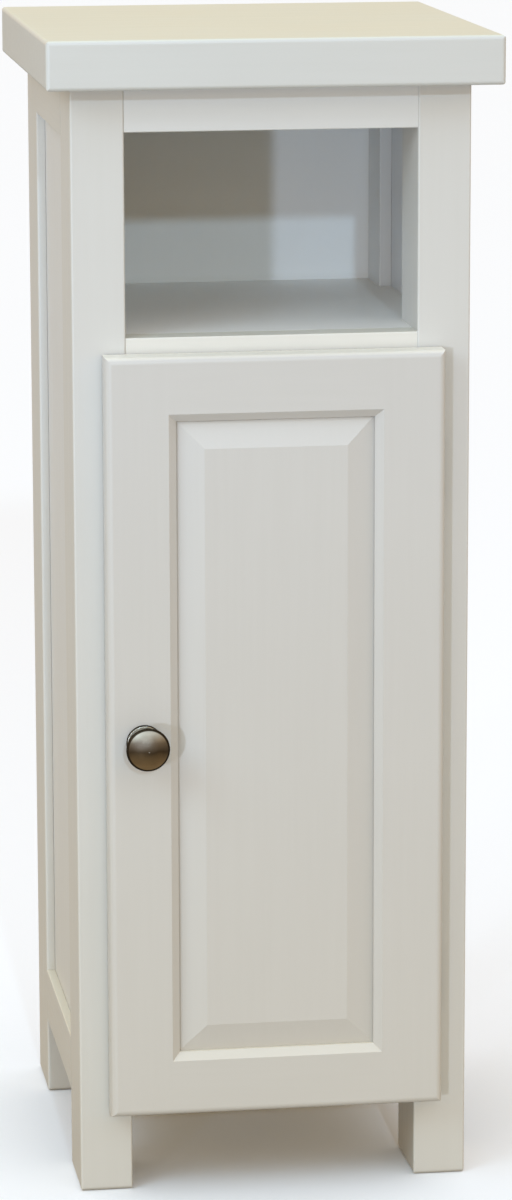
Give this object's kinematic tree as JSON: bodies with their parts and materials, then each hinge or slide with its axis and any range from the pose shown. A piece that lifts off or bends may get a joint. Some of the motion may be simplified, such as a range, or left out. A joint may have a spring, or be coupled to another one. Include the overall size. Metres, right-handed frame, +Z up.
{
  "type": "apothecary cabinet",
  "caption": "Tall narrow painted cabinet with a thick overhanging top, an open niche and a raised-panel door with a round metal knob, on post feet.",
  "frame": {"origin": "on the floor, under the middle of the whole cabinet's box, knob included", "axes": "+Z up, +X to the right seen from the front, the door and its knob face -Y"},
  "size_m": [0.34, 0.3725, 0.885],
  "materials": {
    "paint_body": "satin white paint on wood",
    "paint_door": "satin white paint on wood",
    "paint_top": "satin cream-white paint on wood",
    "paint_inside": "satin white paint on board",
    "dowel_beech": "bare beech",
    "aged_brass": "aged brass, brushed and rubbed",
    "hinge_steel": "plated steel",
    "screw_zinc": "zinc-plated steel",
    "catch_plastic": "moulded white plastic",
    "magnet_ferrite": "sintered ferrite",
    "bumper_rubber": "clear silicone rubber"
  },
  "bodies": {
    "cabinet": {"top_slab": "paint_top", "front_left_post": "paint_body", "front_right_post": "paint_body", "back_left_post": "paint_body", "back_right_post": "paint_body", "front_top_rail": "paint_body", "front_middle_rail": "paint_body", "front_bottom_rail": "paint_body", "left_top_rail": "paint_body", "left_bottom_rail": "paint_body", "right_top_rail": "paint_body", "right_bottom_rail": "paint_body", "left_side_panel": "paint_body", "right_side_panel": "paint_body", "back_top_rail": "paint_body", "back_bottom_rail": "paint_body", "back_panel": "paint_inside", "niche_shelf": "paint_inside", "cupboard_floor": "paint_inside", "inner_shelf": "paint_inside", "niche_shelf_battens": "paint_inside", "floor_battens": "paint_inside", "slab_battens": "paint_inside", "front_dowels": "dowel_beech", "side_dowels": "dowel_beech", "back_dowels": "dowel_beech", "shelf_pins": "hinge_steel", "slab_screws": "screw_zinc", "floor_batten_screws": "screw_zinc", "upper_hinge_frame_leaf": "hinge_steel", "lower_hinge_frame_leaf": "hinge_steel", "hinge_pins": "hinge_steel", "hinge_frame_screws": "screw_zinc", "catch_case": "catch_plastic", "catch_magnet": "magnet_ferrite", "catch_pole_plates": "hinge_steel", "catch_screws": "screw_zinc"},
    "door": {"door_left_stile": "paint_door", "door_right_stile": "paint_door", "door_top_rail": "paint_door", "door_bottom_rail": "paint_door", "door_panel": "paint_door", "door_dowels": "dowel_beech", "knob": "aged_brass", "knob_rose": "aged_brass", "knob_screw": "screw_zinc", "upper_hinge_door_leaf": "hinge_steel", "lower_hinge_door_leaf": "hinge_steel", "hinge_door_screws": "screw_zinc", "strike_plate": "hinge_steel", "strike_screw": "screw_zinc", "door_bumpers": "bumper_rubber"}
  },
  "joints": [
    {"name": "door_swing", "type": "hinge", "parent": "cabinet", "child": "door", "pos_m": [0.128, -0.13675, 0.358], "axis": [0, 0, 1], "range_deg": [0, 95]}
  ]
}
